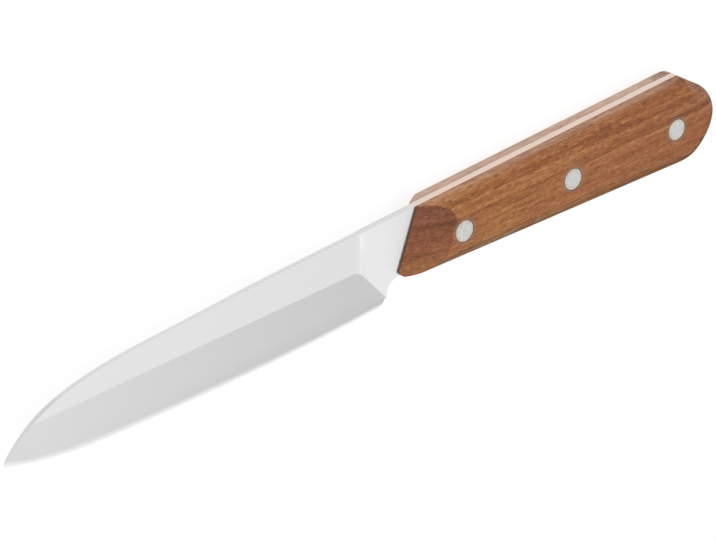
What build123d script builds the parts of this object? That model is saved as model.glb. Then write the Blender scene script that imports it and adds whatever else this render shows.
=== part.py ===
from build123d import *
import math
import os

os.makedirs("parts", exist_ok=True)

# A small kitchen knife lying flat on its right side.
# +X points to the butt of the handle, +Y to the spine and +Z out of the left side.
# The origin is under the middle of the outline, on the surface the knife lies on.
# Outline points are given from the axis of the front rivet.

# ---------------------------------------------------------------- driving dimensions, mm
FRONT_RIVET_X = 21.7645   # front rivet axis in the part frame
FRONT_RIVET_Y = 2.3944

HANDLE_T = 15.0          # over both scales
STEEL_T = 1.9            # tang and ricasso
SCALE_T = (HANDLE_T - STEEL_T) / 2
MID_Z = HANDLE_T / 2     # middle plane of the steel
ROUND_R = 5.6            # rounding of the scales' outer edges
FRONT_LIP = 0.5          # upright strip at the scales' front, under the slanted cut
FRONT_CUT_RUN = 9.3      # length of the slanted cut along X
FRONT_CORNER_R = (1.2, 0.7)   # the scales' front corners, underside and spine side

SPINE_SLOPE = 0.029      # the top of the handle and the spine are one straight line
SPINE_Y0 = 8.43

RIVET_PITCH = 36.0
HEAD_R = 2.8
HEAD_T = 1.8
HEAD_GAP = 0.05          # round each head, in its counterbore
HEAD_EASE = 0.12
TUBE_R = 1.95            # outside of the headed tube
STUD_R = 1.25            # stud, pressed into the tube
BORE_END_Z = 3.4         # closed end of the tube's bore
TANG_HOLE_R = 2.1
TUBE_END_Z = 12.6        # open end of the tube, short of the opposite head
STUD_END_Z = 4.2

FLAT_HALF_HEEL = 0.75    # half thickness of the blade in front of the ricasso
FLAT_HALF_TIP = 0.59     # the same at the tip end
CREASE_X = -25.2         # where the ricasso steps down to the blade
CREASE_RUN = 1.6
CREASE_LEAN = 0.115
BEVEL_Z0 = 0.8943        # the ground bevel is a plane: half thickness = Z0 + A x + B y
BEVEL_A = 0.001716
BEVEL_B = 0.0425
PLUNGE_SLOPE = 1.0       # run of the plunge wall for its height
EDGE_ANGLE = 10.0        # each side of the cutting edge, degrees
NOTCH_H = 0.36           # half height of the notch that leaves the cutting edge


def spine_y(x):
    return SPINE_Y0 + SPINE_SLOPE * x


def unit(x, y):
    return (x / math.hypot(x, y), y / math.hypot(x, y))


TIP = (-131.92, -9.2)
BUTT_CORNER = (78.7, spine_y(78.7))
SCALE_FRONT_TOP = (-9.28, spine_y(-9.28))
SCALE_FRONT_BOTTOM = (-16.78, -8.16)
UNDERSIDE_END = (75.0, -12.06)   # the underside is straight from the front to here

butt_points = [(82.9, 7.75), (85.65, 5.8), (87.3, 3.6), (88.1, 0.9), (87.9, -2.05), (86.8, -4.85),
               (85.1, -7.25), (83.05, -9.3), (80.7, -10.9), (78.0, -11.85), UNDERSIDE_END]
underside_dir = (UNDERSIDE_END[0] - SCALE_FRONT_BOTTOM[0], UNDERSIDE_END[1] - SCALE_FRONT_BOTTOM[1])
spine_points = [(-55.0, spine_y(-55.0)), (-73.0, 5.95), (-89.0, 5.2), (-97.0, 4.75), (-105.0, 3.85), (-111.03, 2.75),
                (-117.05, 1.09), (-121.07, -0.59), (-124.6, -2.62), (-127.86, -5.01), (-130.4, -7.36), TIP, (-133.3, -11.4)]
edge_points = [(-12.0, -17.4), (-18.3, -15.6), (-22.5, -14.97), (-28.0, -15.15), (-35.0, -15.44), (-50.0, -15.65), (-62.0, -15.6), (-78.0, -15.35),
               (-94.0, -14.85), (-106.0, -14.25), (-114.0, -13.48), (-122.0, -12.08), (-128.0, -10.5), TIP, (-137.2, -7.35)]
heel_points = [(-20.35, -12.2), (-20.65, -13.4), (-21.75, -14.7), (-24.6, -16.1)]
ricasso_foot = [(-19.5, -9.85), (-18.75, -9.05), (-17.95, -8.58), SCALE_FRONT_BOTTOM]
plunge_line = [(-27.2, -3.75), (-18.8, -14.75)]
plunge_shoulder = (-34.0, -1.55)     # above the grind line, so the bevel plane alone makes that line

grip = Plane(origin=(FRONT_RIVET_X, FRONT_RIVET_Y, 0))
steel_mid = grip.offset(MID_Z)
rivet_spots = [(i * RIVET_PITCH, 0) for i in range(3)]

# ---------------------------------------------------------------- cutters for the blade's ground faces
# upper flat: a shallow wedge with its step at the ricasso, drawn as seen from the edge side
with BuildPart() as flat_cut:
    with BuildSketch(Plane(origin=(FRONT_RIVET_X, FRONT_RIVET_Y + 10, MID_Z), x_dir=(1, 0, 0), z_dir=(0, -1, 0))):
        with BuildLine():
            FilletPolyline((CREASE_X + 1.2, STEEL_T / 2 + 0.15), (CREASE_X - CREASE_RUN, FLAT_HALF_HEEL), (-140.0, FLAT_HALF_TIP - 0.011),
                           radius=6.0)
            Polyline((-140.0, FLAT_HALF_TIP - 0.011), (-140.0, 1.5), (CREASE_X + 1.2, 1.5), (CREASE_X + 1.2, STEEL_T / 2 + 0.15))
        make_face()
    extrude(amount=40, dir=(-CREASE_LEAN, -1, 0))

# main bevel: everything above the bevel plane, up to the sloping plunge wall behind the heel
bevel_plane = Plane(origin=(FRONT_RIVET_X, FRONT_RIVET_Y, MID_Z + BEVEL_Z0), z_dir=(-BEVEL_A, -BEVEL_B, 1))
px, py = plunge_line[1][0] - plunge_line[0][0], plunge_line[1][1] - plunge_line[0][1]
out_x, out_y = -py / math.hypot(px, py) * PLUNGE_SLOPE, px / math.hypot(px, py) * PLUNGE_SLOPE
with BuildPart() as bevel_cut:
    # the outline holds at 0.7 above the middle plane; the wall leans out towards the ricasso from there
    with BuildSketch(Plane(origin=(FRONT_RIVET_X - 0.6 * out_x, FRONT_RIVET_Y - 0.6 * out_y, MID_Z + 0.1))):
        with BuildLine():
            Line(plunge_line[1], plunge_line[0])
            Spline(plunge_line[0], plunge_shoulder, tangents=[unit(-px, -py), unit(-1.0, 0.02)], tangent_scalars=[0.8, 1.6])
            Polyline(plunge_shoulder, (-140.0, -1.0), (-140.0, -30.0), (-18.8, -30.0), plunge_line[1])
        make_face()
    extrude(amount=1.4, dir=(out_x, out_y, 1))
    split(bisect_by=bevel_plane, keep=Keep.TOP)


# cutting edge: a V notch along the edge curve, at the same angle on both sides
def shifted_edge(height):
    w = height / math.tan(math.radians(EDGE_ANGLE))
    out = []
    for i, (x, y) in enumerate(edge_points):
        x0, y0 = edge_points[max(i - 1, 0)]
        x1, y1 = edge_points[min(i + 1, len(edge_points) - 1)]
        tx, ty = x1 - x0, y1 - y0
        n = math.hypot(tx, ty)
        out.append((x + w * ty / n, y - w * tx / n))
    return out


with BuildPart() as edge_cut:
    for h in (-NOTCH_H, 0.0, NOTCH_H):
        curve = shifted_edge(abs(h))
        with BuildSketch(steel_mid.offset(h)):
            with BuildLine():
                Spline(*curve)
                Polyline(curve[-1], (-150.0, -30.0), (0.0, -30.0), curve[0])
            make_face()
    loft(ruled=True)

# ---------------------------------------------------------------- steel: blade, ricasso and full tang
with BuildPart() as blade:
    with BuildSketch(grip.offset(MID_Z - STEEL_T / 2)):
        with BuildLine():
            Line(BUTT_CORNER, spine_points[0])
            Spline(*spine_points, tangents=[unit(-1, -SPINE_SLOPE), unit(-0.6, -1.0)], tangent_scalars=[1, 1])
            Polyline(spine_points[-1], (-133.0, -20.0), (-24.6, -20.0), heel_points[-1])
            Spline(*reversed(heel_points), tangents=[unit(2.4, 1.2), unit(0.1, 1.0)], tangent_scalars=[1, 1])
            Line(heel_points[0], ricasso_foot[0])
            Spline(*ricasso_foot, tangents=[unit(0.45, 1.0), unit(1.0, 0.5)], tangent_scalars=[1, 1])
            Line(SCALE_FRONT_BOTTOM, UNDERSIDE_END)
            Spline(*reversed(butt_points), tangents=[unit(*underside_dir), unit(-0.82, 0.575)], tangent_scalars=[1, 1])
            Line(butt_points[0], BUTT_CORNER)
        make_face()
    extrude(amount=STEEL_T)
    add(flat_cut.part, mode=Mode.SUBTRACT)
    add(mirror(flat_cut.part, about=steel_mid, mode=Mode.PRIVATE), mode=Mode.SUBTRACT)
    add(bevel_cut.part, mode=Mode.SUBTRACT)
    add(mirror(bevel_cut.part, about=steel_mid, mode=Mode.PRIVATE), mode=Mode.SUBTRACT)
    add(edge_cut.part, mode=Mode.SUBTRACT)
    with BuildSketch(grip.offset(MID_Z - STEEL_T / 2)):
        with Locations(*rivet_spots):
            Circle(TANG_HOLE_R)
    extrude(amount=STEEL_T, mode=Mode.SUBTRACT)
blade.part.label = "blade"
print("blade", blade.part.volume, blade.part.bounding_box(), len(blade.part.solids()), len(blade.part.faces()))
export_step(blade.part, "parts/blade.step")

# ---------------------------------------------------------------- wooden scales
# slanted flat cut at the front: starts FRONT_LIP above the steel and runs out on the side face
front_dir = Vector(SCALE_FRONT_TOP[0] - SCALE_FRONT_BOTTOM[0], SCALE_FRONT_TOP[1] - SCALE_FRONT_BOTTOM[1], 0).normalized()
cut_normal = Vector(FRONT_CUT_RUN, 0, SCALE_T - FRONT_LIP).cross(front_dir).normalized()
if cut_normal.Z < 0:
    cut_normal = cut_normal * -1
front_cut = Plane(origin=(FRONT_RIVET_X + SCALE_FRONT_TOP[0], FRONT_RIVET_Y + SCALE_FRONT_TOP[1],
                          MID_Z + STEEL_T / 2 + FRONT_LIP), z_dir=cut_normal)


def corner_waste(corner, to_a, to_b, radius):
    # outline of what a rounded corner leaves off: the arc's ends, its middle and a loop outside the corner
    a, b = unit(to_a[0] - corner[0], to_a[1] - corner[1]), unit(to_b[0] - corner[0], to_b[1] - corner[1])
    half = math.acos(a[0] * b[0] + a[1] * b[1]) / 2
    run, reach = radius / math.tan(half), radius / math.sin(half) - radius
    c = unit(a[0] + b[0], a[1] + b[1])
    ends = [(corner[0] + run * d[0], corner[1] + run * d[1]) for d in (a, b)]
    loop = [(e[0] - c[0], e[1] - c[1]) for e in ends]
    return ends, (corner[0] + reach * c[0], corner[1] + reach * c[1]), [loop[1], (corner[0] - 2 * c[0], corner[1] - 2 * c[1]), loop[0]]


with BuildPart() as left_scale:
    with BuildSketch(grip.offset(MID_Z + STEEL_T / 2)):
        with BuildLine():
            Line(SCALE_FRONT_TOP, BUTT_CORNER)
            Line(BUTT_CORNER, butt_points[0])
            Spline(*butt_points, tangents=[unit(0.82, -0.575), unit(-underside_dir[0], -underside_dir[1])], tangent_scalars=[1, 1])
            Line(UNDERSIDE_END, SCALE_FRONT_BOTTOM)
            Line(SCALE_FRONT_BOTTOM, SCALE_FRONT_TOP)
        make_face()
    extrude(amount=SCALE_T)
    outer = left_scale.faces().sort_by(Axis.Z)[-1].edges()
    front_edge = outer.filter_by(lambda e: abs(abs((e @ 1 - e @ 0).normalized().dot(front_dir)) - 1) < 1e-3)
    fillet(outer - front_edge, ROUND_R)
    split(bisect_by=front_cut, keep=Keep.BOTTOM)
    with BuildSketch(grip.offset(MID_Z + STEEL_T / 2)):
        for corner, to_a, to_b, radius in ((SCALE_FRONT_BOTTOM, SCALE_FRONT_TOP, UNDERSIDE_END, FRONT_CORNER_R[0]),
                                           (SCALE_FRONT_TOP, SCALE_FRONT_BOTTOM, BUTT_CORNER, FRONT_CORNER_R[1])):
            ends, middle, loop = corner_waste(corner, to_a, to_b, radius)
            with BuildLine():
                ThreePointArc(ends[0], middle, ends[1])
                Polyline(ends[1], *loop, ends[0])
            make_face()
    extrude(amount=SCALE_T, mode=Mode.SUBTRACT)
    with BuildSketch(grip.offset(HANDLE_T)):
        with Locations(*rivet_spots):
            Circle(HEAD_R + HEAD_GAP)
    extrude(amount=-HEAD_T, mode=Mode.SUBTRACT)
    with BuildSketch(grip.offset(HANDLE_T)):
        with Locations(*rivet_spots):
            Circle(TUBE_R)
    extrude(amount=-SCALE_T, mode=Mode.SUBTRACT)
left_scale.part.label = "left_scale"
print("left_scale", left_scale.part.volume, left_scale.part.bounding_box(), len(left_scale.part.solids()), len(left_scale.part.faces()))
export_step(left_scale.part, "parts/left_scale.step")

with BuildPart() as right_scale:
    add(mirror(left_scale.part, about=steel_mid, mode=Mode.PRIVATE))
right_scale.part.label = "right_scale"
print("right_scale", right_scale.part.volume, right_scale.part.bounding_box(), len(right_scale.part.solids()), len(right_scale.part.faces()))
export_step(right_scale.part, "parts/right_scale.step")

# ---------------------------------------------------------------- two-piece rivets, three of each half
# headed tubes: heads in the right scale, tubes through the tang into the left scale
with BuildPart() as rivet_tubes:
    with BuildSketch(grip):
        with Locations(*rivet_spots):
            Circle(HEAD_R)
    extrude(amount=HEAD_T)
    fillet(rivet_tubes.edges().group_by(Axis.Z)[0], HEAD_EASE)
    with BuildSketch(grip.offset(HEAD_T)):
        with Locations(*rivet_spots):
            Circle(TUBE_R)
    extrude(amount=TUBE_END_Z - HEAD_T)
    with BuildSketch(grip.offset(BORE_END_Z)):
        with Locations(*rivet_spots):
            Circle(STUD_R)
    extrude(amount=TUBE_END_Z - BORE_END_Z, mode=Mode.SUBTRACT)
    chamfer(rivet_tubes.edges().group_by(Axis.Z)[-1].group_by(lambda e: round(e.length, 3))[-1], 0.15)
rivet_tubes.part.label = "rivet_tubes"
print("rivet_tubes", rivet_tubes.part.volume, rivet_tubes.part.bounding_box(), len(rivet_tubes.part.solids()))
export_step(rivet_tubes.part, "parts/rivet_tubes.step")

# headed studs: heads in the left scale, shanks pressed into the tubes
with BuildPart() as rivet_studs:
    with BuildSketch(grip.offset(HANDLE_T)):
        with Locations(*rivet_spots):
            Circle(HEAD_R)
    extrude(amount=-HEAD_T)
    fillet(rivet_studs.edges().group_by(Axis.Z)[-1], HEAD_EASE)
    with BuildSketch(grip.offset(HANDLE_T - HEAD_T)):
        with Locations(*rivet_spots):
            Circle(STUD_R)
    extrude(amount=STUD_END_Z - (HANDLE_T - HEAD_T))
    chamfer(rivet_studs.edges().group_by(Axis.Z)[0], 0.25)
rivet_studs.part.label = "rivet_studs"
print("rivet_studs", rivet_studs.part.volume, rivet_studs.part.bounding_box(), len(rivet_studs.part.solids()))
export_step(rivet_studs.part, "parts/rivet_studs.step")
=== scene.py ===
import math
import bpy
from mathutils import Matrix, Vector

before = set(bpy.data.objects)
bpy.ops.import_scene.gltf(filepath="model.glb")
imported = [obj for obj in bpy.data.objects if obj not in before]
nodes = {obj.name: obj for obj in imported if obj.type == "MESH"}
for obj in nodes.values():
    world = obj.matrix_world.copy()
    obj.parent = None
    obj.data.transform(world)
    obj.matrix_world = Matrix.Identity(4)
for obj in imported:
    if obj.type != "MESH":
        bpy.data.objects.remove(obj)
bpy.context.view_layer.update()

scene = bpy.context.scene
scene.view_settings.view_transform = "Standard"
scene.view_settings.look = "None"

MM = 0.001
RIVET_X, RIVET_Y, PITCH = 21.7645, 2.3944, 36.0          # axis of the front rivet and the rivets' spacing, mm

# ------------------------------------------------------------------ camera
cam_data = bpy.data.cameras.new("camera")
cam = bpy.data.objects.new("camera", cam_data)
scene.collection.objects.link(cam)
scene.camera = cam
cam_data.sensor_width = 36.0
cam_data.lens = 170.09
cam_data.clip_start, cam_data.clip_end = 0.05, 20.0
turn = Vector((-2.51265216, 0.323074815, -0.904836359))
world_to_view = Matrix.Rotation(turn.length, 3, turn.normalized())
flip = Matrix(((1, 0, 0), (0, -1, 0), (0, 0, -1)))
rot = (flip @ world_to_view).transposed()
place = Vector((-464.317, 386.359, 541.868)) + Vector((21.7645, 2.3944, 15.0))
cam.matrix_world = Matrix.Translation(place * MM) @ rot.to_4x4()


# ------------------------------------------------------------------ node helpers
class Net:
    """Short hand for building the node tree of a material or of the world."""

    def __init__(self, owner, out="ShaderNodeOutputMaterial"):
        owner.use_nodes = True
        self.tree = owner.node_tree
        self.tree.nodes.clear()
        self.out = self.tree.nodes.new(out)

    def put(self, socket, value):
        if hasattr(value, "is_output") or isinstance(value, bpy.types.NodeSocket):
            self.tree.links.new(value, socket)
        else:
            socket.default_value = value

    def node(self, kind, **props):
        n = self.tree.nodes.new(kind)
        for k, v in props.items():
            setattr(n, k, v)
        return n

    def math(self, op, a, b=None, c=None, clamp=False):
        n = self.node("ShaderNodeMath", operation=op, use_clamp=clamp)
        self.put(n.inputs[0], a)
        if b is not None:
            self.put(n.inputs[1], b)
        if c is not None:
            self.put(n.inputs[2], c)
        return n.outputs[0]

    def vmath(self, op, a, b=None):
        n = self.node("ShaderNodeVectorMath", operation=op)
        self.put(n.inputs[0], a)
        if b is not None:
            self.put(n.inputs[1], b)
        return n.outputs["Value"] if op in ("DOT_PRODUCT", "LENGTH", "DISTANCE") else n.outputs["Vector"]

    def step(self, value, lo, hi, a=0.0, b=1.0):
        n = self.node("ShaderNodeMapRange", interpolation_type="SMOOTHSTEP")
        self.put(n.inputs["Value"], value)
        n.inputs["From Min"].default_value, n.inputs["From Max"].default_value = lo, hi
        n.inputs["To Min"].default_value, n.inputs["To Max"].default_value = a, b
        return n.outputs["Result"]

    def line(self, value, lo, hi, a=0.0, b=1.0, clamp=True):
        n = self.node("ShaderNodeMapRange", clamp=clamp)
        self.put(n.inputs["Value"], value)
        n.inputs["From Min"].default_value, n.inputs["From Max"].default_value = lo, hi
        n.inputs["To Min"].default_value, n.inputs["To Max"].default_value = a, b
        return n.outputs["Result"]

    def mapped(self, vector, scale=(1, 1, 1), rotation=(0, 0, 0), location=(0, 0, 0)):
        n = self.node("ShaderNodeMapping", vector_type="POINT")
        self.put(n.inputs["Vector"], vector)
        n.inputs["Scale"].default_value = scale
        n.inputs["Rotation"].default_value = rotation
        n.inputs["Location"].default_value = location
        return n.outputs["Vector"]

    def noise(self, vector, scale=1.0, detail=2.0, rough=0.5, distortion=0.0, lac=2.0):
        n = self.node("ShaderNodeTexNoise", noise_dimensions="3D")
        self.put(n.inputs["Vector"], vector)
        n.inputs["Scale"].default_value = scale
        n.inputs["Detail"].default_value = detail
        n.inputs["Roughness"].default_value = rough
        n.inputs["Lacunarity"].default_value = lac
        n.inputs["Distortion"].default_value = distortion
        return n.outputs["Fac"]

    def mix(self, fac, a, b, blend="MIX"):
        n = self.node("ShaderNodeMix", data_type="RGBA", blend_type=blend)
        self.put(n.inputs["Factor"], fac)
        self.put(n.inputs[6], a)
        self.put(n.inputs[7], b)
        return n.outputs[2]

    def ramp(self, fac, stops, interpolation="LINEAR"):
        n = self.node("ShaderNodeValToRGB")
        n.color_ramp.interpolation = interpolation
        el = n.color_ramp.elements
        while len(el) < len(stops):
            el.new(0.5)
        for e, (pos, col) in zip(el, stops):
            e.position = pos
            e.color = (*col, 1.0)
        self.put(n.inputs["Fac"], fac)
        return n.outputs["Color"]

    def curve(self, value, points, x_range, y_range):
        """A smooth curve through (x, y) points, as a function of value."""
        (x0, x1), (y0, y1) = x_range, y_range
        n = self.node("ShaderNodeFloatCurve")
        c = n.mapping.curves[0]
        pts = [((x - x0) / (x1 - x0), (y - y0) / (y1 - y0)) for x, y in points]
        while len(c.points) < len(pts):
            c.points.new(0.5, 0.5)
        for q, (u, v) in zip(c.points, pts):
            q.location = (u, v)
        n.mapping.update()
        self.put(n.inputs["Value"], self.line(value, x0, x1))
        return self.math("MULTIPLY_ADD", n.outputs[0], y1 - y0, y0)

    def bump(self, height, strength=0.2, distance=0.0001, normal=None):
        n = self.node("ShaderNodeBump")
        n.inputs["Strength"].default_value = strength
        n.inputs["Distance"].default_value = distance
        self.put(n.inputs["Height"], height)
        if normal is not None:
            self.put(n.inputs["Normal"], normal)
        return n.outputs["Normal"]


def srgb(r, g, b):
    """Linear colour of an 8-bit display colour."""
    return tuple(((c / 255 + 0.055) / 1.055) ** 2.4 if c > 10 else c / 255 / 12.92 for c in (r, g, b))


def rgba(*c):
    return (*c, 1.0)


# ------------------------------------------------------------------ wood
def make_wood(name, shift, top_sheen, top_sheen_from, top_sheen_along, streaks):
    """Oiled plank wood. The grain runs along X in layers that lean 14 degrees towards Z; the three arguments after
    shift set a painted highlight, a pale sheen painted on the spine-side edge:
    how strong it is, how upright a surface is where it starts and where it is full, and points of its strength along
    the plank; streaks lists darker growth lines: height, start and end along the plank, half width (mm) and strength."""
    mat = bpy.data.materials.new(name)
    t = Net(mat)
    co = t.node("ShaderNodeTexCoord").outputs["Object"]
    nrm = t.node("ShaderNodeTexCoord").outputs["Normal"]
    mm = t.mapped(co, scale=(1000, 1000, 1000))                       # millimetres
    grain = t.mapped(mm, rotation=(math.radians(13.8), 0, math.radians(0.6)), location=shift)
    sway = t.noise(t.mapped(grain, scale=(0.020, 0.07, 0.07)), detail=1.5)
    wave = t.noise(t.mapped(grain, scale=(0.085, 0.16, 0.12), location=(31, 7, 3)), detail=1.0)
    drift = t.math("ADD", t.math("MULTIPLY_ADD", sway, 0.8, -0.4), t.math("MULTIPLY_ADD", wave, 0.22, -0.11))
    off = t.node("ShaderNodeCombineXYZ")
    t.put(off.inputs["Y"], drift)
    t.put(off.inputs["Z"], t.math("MULTIPLY", drift, 0.5))
    g = t.vmath("ADD", grain, off.outputs[0])

    bands = t.noise(t.mapped(g, scale=(0.010, 0.30, 0.08)), detail=2.0, rough=0.5)
    streak = t.noise(t.mapped(g, scale=(0.028, 0.85, 0.25), location=(9, 2, 5)), detail=2.5, rough=0.55)
    fibre = t.noise(t.mapped(g, scale=(0.19, 3.3, 1.6), location=(4, 8, 1)), detail=3.0, rough=0.62)
    fine = t.noise(t.mapped(g, scale=(0.75, 9.0, 6.0), location=(2, 6, 9)), detail=2.0, rough=0.65)
    tone = t.math("MULTIPLY_ADD", bands, 0.25, t.math("MULTIPLY_ADD", streak, 0.20, t.math("MULTIPLY_ADD", fibre, 0.34, t.math("MULTIPLY_ADD", fine, 0.19, 0.012))))
    place = t.node("ShaderNodeSeparateXYZ")
    t.put(place.inputs[0], mm)
    tone = t.math("MULTIPLY_ADD", t.math("SUBTRACT", tone, 0.502), t.line(place.outputs["X"], 42.0, 66.0, 0.86, 1.0), 0.502)   # calmer grain near the blade
    colour = t.ramp(tone, [(0.39, (0.190, 0.047, 0.005)), (0.45, (0.270, 0.076, 0.010)), (0.50, (0.333, 0.112, 0.026)),
                           (0.55, (0.387, 0.150, 0.047)), (0.61, (0.460, 0.205, 0.078))])
    # slow drift of hue along the plank, from reddish to honey
    hue = t.noise(t.mapped(g, scale=(0.035, 0.12, 0.08), location=(17, 4, 13)), detail=2.0)
    colour = t.mix(t.step(hue, 0.48, 0.70, 0.0, 0.5), colour, rgba(1.02, 1.16, 1.08), "MULTIPLY")
    colour = t.mix(t.step(hue, 0.50, 0.30, 0.0, 0.5), colour, rgba(1.0, 0.88, 0.88), "MULTIPLY")
    # growth lines: a few thin darker lines that follow the layers
    ring = t.noise(t.mapped(g, scale=(0.016, 0.62, 0.05), location=(3, 21, 8)), detail=1.0, rough=0.3)
    line = t.math("MULTIPLY", t.step(ring, 0.475, 0.5), t.step(ring, 0.53, 0.502))
    colour = t.mix(t.math("MULTIPLY", line, 0.16), colour, rgba(0.135, 0.038, 0.010))
    mottle = t.noise(t.mapped(g, scale=(0.72, 1.05, 1.0), location=(8, 1, 19)), detail=2.5, rough=0.6)
    colour = t.mix(1.0, colour, t.ramp(mottle, [(0.32, (0.84, 0.76, 0.50)), (0.68, (1.14, 1.26, 1.60))]), "MULTIPLY")
    pos = t.node("ShaderNodeSeparateXYZ")
    t.put(pos.inputs[0], mm)
    gpos = t.node("ShaderNodeSeparateXYZ")
    t.put(gpos.inputs[0], t.vmath("ADD", mm, t.vmath("MULTIPLY", off.outputs[0], (0, 0.22, 0))))
    uneven = t.noise(t.mapped(g, scale=(0.09, 0.9, 0.5), location=(6, 14, 2)), detail=2.0)
    for height, start, stop, half, strength in streaks:
        away = t.math("ABSOLUTE", t.math("SUBTRACT", gpos.outputs["Y"], height))
        band = t.math("MULTIPLY", t.step(away, half, half * 0.15), t.math("MULTIPLY", t.step(pos.outputs["X"], start, start + 6), t.step(pos.outputs["X"], stop, stop - 8)))
        colour = t.mix(t.math("MULTIPLY", t.math("MULTIPLY", band, strength), t.step(uneven, 0.34, 0.60, 0.55, 1.0)), colour,
                       t.mix(1.0, colour, rgba(0.66, 0.47, 0.0), "MULTIPLY"))
    # open pores: short reddish-brown dashes, thick near the spine and rare elsewhere
    dash = t.noise(t.mapped(g, scale=(0.62, 5.2, 3.4), location=(11, 3, 7)), detail=1.0, rough=0.45)
    patch = t.noise(t.mapped(g, scale=(0.07, 0.40, 0.25), location=(5, 9, 1)), detail=1.0)
    rows = t.step(t.math("ABSOLUTE", t.math("SUBTRACT", pos.outputs["Y"], 9.4)), 1.5, 0.2)
    where = t.math("MULTIPLY_ADD", t.step(pos.outputs["Y"], 2.0, 9.5), 0.05, t.math("MULTIPLY_ADD", rows, 0.07, t.math("MULTIPLY", patch, 0.42)))
    pore = t.step(t.math("ADD", dash, where), 0.87, 0.955)
    colour = t.mix(t.math("MULTIPLY", pore, 0.62), colour, rgba(0.118, 0.029, 0.007))
    # a few larger flecks near the spine
    blob = t.noise(t.mapped(g, scale=(0.27, 1.25, 0.9), location=(23, 5, 17)), detail=0.5, rough=0.4)
    fleck = t.math("MULTIPLY", t.step(blob, 0.66, 0.74), t.step(pos.outputs["Y"], 4.5, 8.0))
    colour = t.mix(t.math("MULTIPLY", fleck, 0.65), colour, rgba(0.130, 0.030, 0.009))
    # a little paler towards the blade
    colour = t.mix(1.0, colour, t.ramp(t.line(pos.outputs["X"], 16.0, 96.0), [(0.0, (1.06, 1.07, 1.05)), (1.0, (0.97, 0.97, 0.96))]), "MULTIPLY")
    # a honey-coloured patch behind the front rivet
    honey = t.step(t.vmath("DISTANCE", t.vmath("MULTIPLY", mm, (1, 1, 0)), (33.5, 0.0, 0)), 11.0, 3.0)
    colour = t.mix(honey, colour, t.mix(1.0, colour, rgba(1.035, 1.13, 1.14), "MULTIPLY"))
    # end grain drinks more oil and is darker
    n = t.node("ShaderNodeSeparateXYZ")
    t.put(n.inputs[0], nrm)
    front = t.math("MULTIPLY", t.step(n.outputs["X"], -0.30, -0.42), t.line(pos.outputs["Y"], -4.0, 9.0, 0.53, 0.86))
    butt = t.math("MULTIPLY", t.step(n.outputs["X"], 0.22, 0.92), 0.55)
    colour = t.mix(front, colour, t.mix(1.0, colour, rgba(0.47, 0.33, 0.37), "MULTIPLY"))
    colour = t.mix(butt, colour, t.mix(1.0, colour, rgba(0.56, 0.47, 0.62), "MULTIPLY"))
    # the top rounding where it wraps the corner by the butt, which gets painted shade further down
    corner_shade = t.math("MULTIPLY", t.step(n.outputs["Y"], 0.68, 0.94), t.math("MULTIPLY", t.step(pos.outputs["X"], 92.0, 101.0), t.step(n.outputs["X"], 0.70, 0.40)))
    # painted shade on the rounded underside: darker where it starts to turn under, then darker and greyer further round
    underside_shade = t.math("MULTIPLY", t.step(n.outputs["Y"], 0.01, -0.34), t.line(pos.outputs["X"], 40.0, 88.0, 0.35, 1.0))
    colour = t.mix(underside_shade, colour, t.mix(1.0, colour, rgba(0.87, 0.90, 0.94), "MULTIPLY"))
    below = t.step(n.outputs["Y"], -0.12, -0.60)
    underside_shade_tint = t.mix(t.line(pos.outputs["X"], 25.0, 65.0), rgba(0.70, 0.88, 1.54), rgba(0.86, 1.12, 1.90))
    colour = t.mix(below, colour, t.mix(1.0, colour, underside_shade_tint, "MULTIPLY"))
    # painted highlight: the thin edge beside the tang is painted pale, a sheen laid into the colour
    top_sheen_mask = t.math("MULTIPLY", t.step(n.outputs["Y"], *top_sheen_from), t.line(fibre, 0.3, 0.7, 0.78, 1.0))
    top_sheen_mask = t.math("MULTIPLY", top_sheen_mask, t.curve(pos.outputs["X"], top_sheen_along, (12.0, 112.0), (0.0, 1.2)))
    sheen_colour = t.ramp(tone, [(0.40, (0.47, 0.325, 0.26)), (0.50, (0.65, 0.470, 0.388)), (0.60, (0.83, 0.625, 0.530))])
    colour = t.mix(t.math("MULTIPLY", top_sheen_mask, top_sheen), colour, sheen_colour)
    # painted shade: the corner by the butt is darkened and broken with dark dashes, evening out the shading across the
    # crease in the rounding there
    colour = t.mix(corner_shade, colour, t.mix(1.0, colour, rgba(0.80, 0.73, 0.68), "MULTIPLY"))
    colour = t.mix(t.math("MULTIPLY", corner_shade, t.math("MULTIPLY", t.step(dash, 0.50, 0.62), 0.75)), colour, rgba(0.060, 0.020, 0.008))
    # the narrow upright strip at the front, in the corner with the steel, is painted near-black: painted shade in that
    # corner
    lip = t.step(n.outputs["X"], -0.80, -0.93)
    colour = t.mix(t.math("MULTIPLY", lip, 0.85), colour, rgba(0.060, 0.030, 0.018))
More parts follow.
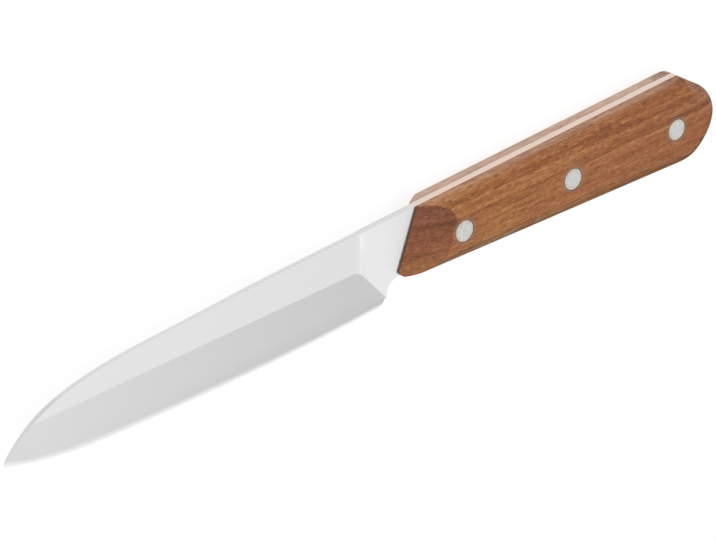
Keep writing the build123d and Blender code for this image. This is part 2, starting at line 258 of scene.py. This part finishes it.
    # painted shade in a ring round each rivet head, and a dark line at the joint with the head
    for i in range(3):
        near = t.vmath("DISTANCE", t.vmath("MULTIPLY", mm, (1, 1, 0)), (RIVET_X + PITCH * i, RIVET_Y, 0))
        shade_ring = t.step(near, 4.05, 2.95)
        colour = t.mix(t.math("MULTIPLY", shade_ring, 0.52), colour, rgba(0.235, 0.155, 0.118))
        seam = t.step(near, 3.12, 2.86)
        colour = t.mix(t.math("MULTIPLY", seam, 0.30), colour, rgba(0.080, 0.055, 0.045))
    rough = t.math("ADD", t.math("MULTIPLY_ADD", fibre, 0.22, 0.34), t.math("MULTIPLY", pore, 0.2))
    rough = t.math("MULTIPLY_ADD", top_sheen_mask, 0.2, rough)
    height = t.math("SUBTRACT", t.math("MULTIPLY_ADD", fibre, 0.30, t.math("MULTIPLY", fine, 0.30)), t.math("MULTIPLY", pore, 0.9))
    p = t.node("ShaderNodeBsdfPrincipled")
    t.put(p.inputs["Base Color"], colour)
    t.put(p.inputs["Roughness"], rough)
    p.inputs["IOR"].default_value = 1.45
    t.put(p.inputs["Normal"], t.bump(height, 0.30, 0.00007))
    t.put(t.out.inputs["Surface"], p.outputs[0])
    return mat


# ------------------------------------------------------------------ steel
EDGE_LINE = [(-114.0, -5.45), (-110.16, -6.81), (-106.24, -8.11), (-100.24, -9.69), (-92.24, -11.09), (-84.24, -11.86), (-72.24, -12.46),
             (-56.24, -12.96), (-40.24, -13.21), (-28.24, -13.26), (-13.24, -13.05), (-6.24, -12.76), (-0.74, -12.58), (4.0, -12.45)]


def make_steel(name):
    mat = bpy.data.materials.new(name)
    t = Net(mat)
    co = t.node("ShaderNodeTexCoord").outputs["Object"]
    nrm = t.node("ShaderNodeTexCoord").outputs["Normal"]
    mm = t.mapped(co, scale=(1000, 1000, 1000))
    pos = t.node("ShaderNodeSeparateXYZ")
    t.put(pos.inputs[0], mm)
    n = t.node("ShaderNodeSeparateXYZ")
    t.put(n.inputs[0], nrm)
    ny, nz, nx = (t.math("ABSOLUTE", n.outputs[k]) for k in ("Y", "Z", "X"))
    side = t.step(nz, 0.60, 0.68)                                      # ground faces, against the outline's walls
    bevel = t.math("MULTIPLY", t.step(ny, 0.02, 0.035), side)          # main bevel
    crease = t.math("MULTIPLY", t.step(nx, 0.04, 0.10), side)          # step in front of the handle
    heel_wall = t.math("MULTIPLY", t.step(nx, 0.25, 0.45), side)       # end of the bevel behind the heel
    # distance from the cutting edge, mm
    edge_y = t.curve(pos.outputs["X"], EDGE_LINE, (-114.0, 4.0), (-14.0, -4.0))
    inward = t.math("SUBTRACT", pos.outputs["Y"], edge_y)
    along = t.noise(t.mapped(mm, scale=(0.05, 9.0, 3.0)), detail=4.0, rough=0.7)
    across = t.noise(t.mapped(mm, scale=(9.0, 0.06, 3.0), rotation=(0, 0, math.radians(4))), detail=4.0, rough=0.7)
    cloud = t.noise(t.mapped(mm, scale=(0.035, 0.09, 0.1)), detail=2.0)
    grind = t.node("ShaderNodeMix", data_type="FLOAT")
    t.put(grind.inputs["Factor"], bevel)
    t.put(grind.inputs[2], along)
    t.put(grind.inputs[3], across)
    grind = grind.outputs[0]
    # the bevel is darkest at the heel and clears towards the tip
    run = t.line(pos.outputs["X"], -8.0, -100.0)
    # painted highlight along the honed edge: a firm narrow band at the heel that spreads into the bevel towards the tip
    firm, soft = t.step(inward, 1.52, 0.22), t.line(inward, 1.68, 0.12)
    edge_highlight = t.math("MULTIPLY", t.math("ADD", t.math("MULTIPLY", firm, t.math("SUBTRACT", 1.0, run)), t.math("MULTIPLY", soft, run)), side)
    bevel_tone = t.mix(run, rgba(0.628, 0.628, 0.632), rgba(0.742, 0.742, 0.744))
    bevel_tone = t.mix(t.math("MULTIPLY", t.line(inward, 6.0, 1.2), t.line(run, 0.35, 1.0, 1.0, 0.25)), bevel_tone, t.mix(1.0, bevel_tone, rgba(0.95, 0.95, 0.95), "MULTIPLY"))
    upper = t.step(pos.outputs["Y"], 2.0, 8.5)                         # painted highlight on the step in front of the handle and on the strip just behind it: bright near the spine, fading below
    ricasso_highlight = t.mix(t.math("MULTIPLY", upper, t.step(pos.outputs["X"], -2.2, -4.0)), rgba(0.856, 0.856, 0.858), rgba(0.876, 0.876, 0.878))
    flat_tone = t.mix(t.step(pos.outputs["X"], -4.2, -5.2), ricasso_highlight,
                      t.mix(run, rgba(0.784, 0.784, 0.787), rgba(0.818, 0.818, 0.821)))
    base = t.mix(bevel, flat_tone, bevel_tone)
    # painted highlight along the step itself, brighter near the spine
    base = t.mix(crease, base, t.mix(upper, rgba(0.846, 0.846, 0.848), rgba(0.896, 0.896, 0.898)))
    base = t.mix(heel_wall, base, rgba(0.78, 0.78, 0.785))
    # painted highlight: the honed edge is painted almost white, fading out into the bevel
    base = t.mix(edge_highlight, base, rgba(0.995, 0.995, 0.995))
    # the outline's walls, with the tang's edge tinted warm
    tone = t.curve(pos.outputs["X"], [(-112.0, 0.835), (-107.0, 0.815), (-102.0, 0.785), (-97.0, 0.76), (-92.0, 0.83), (-82.0, 0.85), (-60.0, 0.872), (-38.0, 0.85), (-15.0, 0.84), (6.0, 0.835)],
                   (-112.0, 6.0), (0.70, 0.95))
    wall = t.node("ShaderNodeCombineColor")
    t.put(wall.inputs[0], tone)
    t.put(wall.inputs[1], tone)
    t.put(wall.inputs[2], t.math("MULTIPLY", tone, 1.005))
    wall = t.mix(t.step(pos.outputs["X"], 11.0, 15.0), wall.outputs[0], rgba(0.93, 0.745, 0.635))
    base = t.mix(side, wall, base)
    base = t.mix(0.07, base, t.ramp(grind, [(0.3, (0.45, 0.45, 0.46)), (0.7, (1, 1, 1))]), "MULTIPLY")
    rough = t.math("MULTIPLY_ADD", grind, 0.12, 0.24)
    rough = t.math("MULTIPLY_ADD", cloud, 0.08, rough)
    rough = t.math("MULTIPLY_ADD", heel_wall, 0.25, rough)
    p = t.node("ShaderNodeBsdfPrincipled")
    t.put(p.inputs["Base Color"], base)
    t.put(p.inputs["Roughness"], rough)
    p.inputs["Metallic"].default_value = 1.0
    t.put(p.inputs["Normal"], t.bump(grind, 0.05, 0.00002))
    t.put(t.out.inputs["Surface"], p.outputs[0])
    return mat


def make_rivet(name):
    mat = bpy.data.materials.new(name)
    t = Net(mat)
    co = t.node("ShaderNodeTexCoord").outputs["Object"]
    mm = t.mapped(co, scale=(1000, 1000, 1000))
    lines = t.noise(t.mapped(mm, scale=(0.8, 8.0, 5.0), rotation=(0, 0, math.radians(35))), detail=4.0, rough=0.7)
    cloud = t.noise(t.mapped(mm, scale=(0.8, 0.8, 0.8)), detail=2.5)
    base = t.ramp(cloud, [(0.32, (0.60, 0.612, 0.61)), (0.5, (0.660, 0.668, 0.660)), (0.68, (0.735, 0.725, 0.705))])
    base = t.mix(0.16, base, t.ramp(lines, [(0.3, (0.4, 0.4, 0.41)), (0.7, (1, 1, 1))]), "MULTIPLY")
    # a thin film of oil has dried on the rim of each head
    for i in range(3):
        near = t.vmath("DISTANCE", t.vmath("MULTIPLY", mm, (1, 1, 0)), (RIVET_X + PITCH * i, RIVET_Y, 0))
        rim = t.math("MULTIPLY", t.step(near, 1.5, 2.85), t.step(near, 4.0, 3.5))
        base = t.mix(rim, base, t.mix(1.0, base, rgba(0.99, 0.84, 0.75), "MULTIPLY"))
    rough = t.math("MULTIPLY_ADD", lines, 0.22, 0.26)
    p = t.node("ShaderNodeBsdfPrincipled")
    t.put(p.inputs["Base Color"], base)
    t.put(p.inputs["Roughness"], rough)
    p.inputs["Metallic"].default_value = 1.0
    t.put(p.inputs["Normal"], t.bump(lines, 0.12, 0.00002))
    t.put(t.out.inputs["Surface"], p.outputs[0])
    return mat


def give(node, mat):
    o = nodes[node]
    o.data.materials.clear()
    o.data.materials.append(mat)


steel, rivet = make_steel("steel"), make_rivet("rivet_metal")
give("blade", steel)
give("left_scale", make_wood("wood_left", (3.0, 2.0, 4.0), 0.34, (0.948, 0.999), [(12, 0.34), (26, 0.36), (34, 0.66), (46, 0.92), (56, 0.94), (66, 0.66), (78, 0.78), (90, 0.94), (112, 0.86)], [
    (9.42, 18, 116, 0.90, 0.58), (5.62, 6, 116, 1.20, 0.95), (5.55, 52, 116, 0.90, 0.52), (2.20, 16, 70, 0.80, 0.36), (2.20, 60, 116, 0.90, 0.76),
    (0.20, 32, 116, 0.65, 0.32), (-3.1, 12, 98, 1.0, 0.45), (7.6, 18, 60, 0.30, 0.28), (6.9, 56, 100, 0.35, 0.30), (3.9, 30, 84, 0.25, 0.20),
    (-1.3, 44, 96, 0.30, 0.26), (-5.2, 20, 80, 0.40, 0.28)]))
give("right_scale", make_wood("wood_right", (40.0, 9.0, 21.0), 0.80, (0.42, 0.98), [(12, 1.04), (60, 0.92), (112, 0.92)], [
    (8.8, 8, 116, 0.95, 0.60), (5.1, 12, 116, 0.80, 0.55), (1.3, 6, 90, 1.10, 0.72), (-1.9, 30, 116, 0.70, 0.50), (-5.0, 12, 86, 0.90, 0.42),
    (6.9, 24, 70, 0.30, 0.30), (3.2, 50, 104, 0.35, 0.30), (-0.3, 18, 58, 0.30, 0.28)]))
give("rivet_tubes", rivet)
give("rivet_studs", rivet)

# ------------------------------------------------------------------ floor, light
floor_mesh = bpy.data.meshes.new("floor")
S = 6.0
floor_mesh.from_pydata([(-S, -S, 0), (S, -S, 0), (S, S, 0), (-S, S, 0)], [], [(0, 1, 2, 3)])
floor = bpy.data.objects.new("floor", floor_mesh)
scene.collection.objects.link(floor)
floor.location.z = -0.00002
mat = bpy.data.materials.new("floor_white")
t = Net(mat)
d = t.node("ShaderNodeBsdfDiffuse")
d.inputs["Color"].default_value = (0.14, 0.14, 0.14, 1)
e = t.node("ShaderNodeEmission")
e.inputs["Strength"].default_value = 0.89
m = t.node("ShaderNodeAddShader")
t.put(m.inputs[0], d.outputs[0])
t.put(m.inputs[1], e.outputs[0])
t.put(t.out.inputs["Surface"], m.outputs[0])
floor_mesh.materials.append(mat)
# the knife is lit by the studio's walls and not by the table, so that its underside stays as dark as a held knife's
floor.visible_diffuse = False
floor.visible_glossy = False
floor.visible_shadow = False

# Studio: white walls all round, a dark one low down on the -Y side, and a slightly grey floor
world = bpy.data.worlds.new("studio")
scene.world = world
w = Net(world, "ShaderNodeOutputWorld")
ray = w.node("ShaderNodeSeparateXYZ")
w.put(ray.inputs[0], w.node("ShaderNodeTexCoord").outputs["Generated"])
dark = w.math("MULTIPLY", w.step(ray.outputs["Y"], -0.20, -0.52), w.step(ray.outputs["Z"], 0.38, 0.10))
dark = w.math("MULTIPLY", dark, w.math("MULTIPLY", w.step(ray.outputs["X"], -0.25, 0.10), w.step(ray.outputs["Z"], -0.65, -0.25)))
level = w.math("MULTIPLY", w.math("MULTIPLY_ADD", dark, -0.94, 1.0), w.step(ray.outputs["Z"], 0.0, -0.3, 1.0, 0.86))
bg = w.node("ShaderNodeBackground")
bg.inputs["Color"].default_value = (1, 1, 1, 1)
w.put(bg.inputs["Strength"], w.math("MULTIPLY", level, 0.985))
w.put(w.out.inputs["Surface"], bg.outputs[0])


def area(name, at, aim, size, watts):
    data = bpy.data.lights.new(name, "AREA")
    data.energy = watts
    data.size = size
    o = bpy.data.objects.new(name, data)
    scene.collection.objects.link(o)
    o.location = at
    o.rotation_mode = "QUATERNION"
    o.rotation_quaternion = (Vector(aim) - Vector(at)).to_track_quat("-Z", "Y")
    return o


area("key", (-0.35, 0.35, 0.9), (0, 0, 0), 0.6, 1.2)
